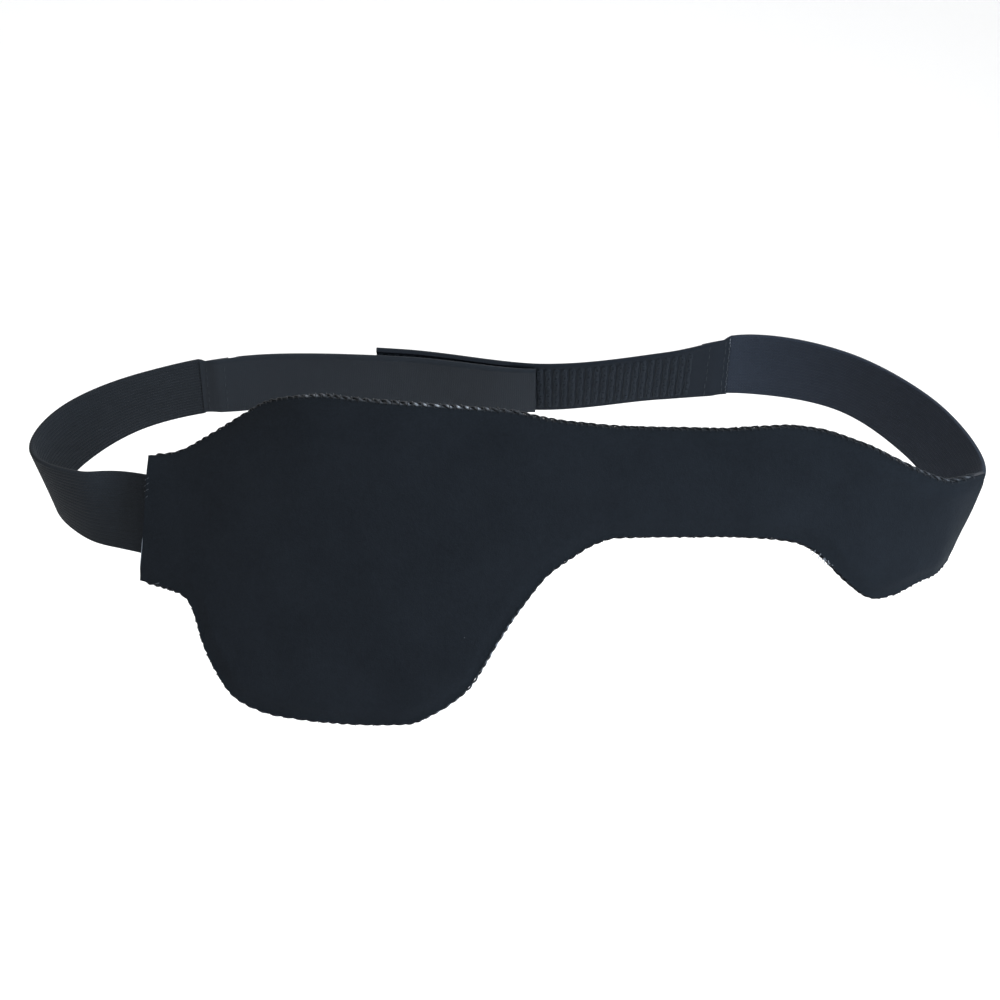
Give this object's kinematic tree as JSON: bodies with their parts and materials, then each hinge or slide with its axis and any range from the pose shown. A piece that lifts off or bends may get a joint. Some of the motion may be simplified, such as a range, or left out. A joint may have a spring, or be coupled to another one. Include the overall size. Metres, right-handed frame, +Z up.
{
  "type": "eye patch",
  "caption": "Flat padded cloth patch that covers one eye, with a bridge, a tail and an adjustable elastic strap closed by hook-and-loop tape.",
  "frame": {"origin": "inner side of the panel on the strap line, where the nose bridge meets the wearer's face, at the middle of the loop's width", "axes": "+X across the face from the eye pad to the tail, -Y out of the front face, +Z up as worn"},
  "size_m": [0.243, 0.0775, 0.0902],
  "materials": {
    "face_cloth": "brushed black knit, matt",
    "foam": "dark polyurethane foam",
    "lining": "smooth black knit",
    "edge_thread": "twisted textured polyester thread",
    "elastic": "ribbed black elastic webbing",
    "loop_pile": "brushed loop pile on black tape",
    "hook_backing": "black woven nylon tape",
    "hooks": "black moulded nylon hooks",
    "sewing_thread": "black polyester sewing thread"
  },
  "bodies": {
    "panel": {"face_cloth": "face_cloth", "foam_core": "foam", "lining_cloth": "lining", "top_edge_thread": "edge_thread", "bottom_edge_thread": "edge_thread", "left_elastic_sewn_end": "elastic", "right_elastic_sewn_end": "elastic", "left_seam_thread": "sewing_thread", "right_seam_thread": "sewing_thread"},
    "left_strap": {"left_elastic": "elastic", "loop_tape": "loop_pile", "loop_seam_thread": "sewing_thread"},
    "right_strap": {"right_elastic": "elastic", "hook_tape_sewn_end": "hook_backing", "hook_seam_thread": "sewing_thread"},
    "hook_tab": {"hook_tape": "hook_backing", "hook_rows": "hooks"}
  },
  "joints": [
    {"name": "left_strap_fold", "type": "hinge", "parent": "panel", "child": "left_strap", "pos_m": [-0.091, 0.01515, 0.00874], "axis": [-0.1585, -0.0737, -0.9846], "range_deg": [0, 18]},
    {"name": "right_strap_swing", "type": "hinge", "parent": "panel", "child": "right_strap", "pos_m": [0.11626, 0.01497, 0.00864], "axis": [-0.1515, 0.5868, -0.7955], "range_deg": [0, 90]},
    {"name": "hook_tab_peel", "type": "hinge", "parent": "right_strap", "child": "hook_tab", "pos_m": [0.05359, 0.06453, 0.03737], "axis": [-0.0342, 0.6125, -0.7897], "range_deg": [0, 100]}
  ]
}
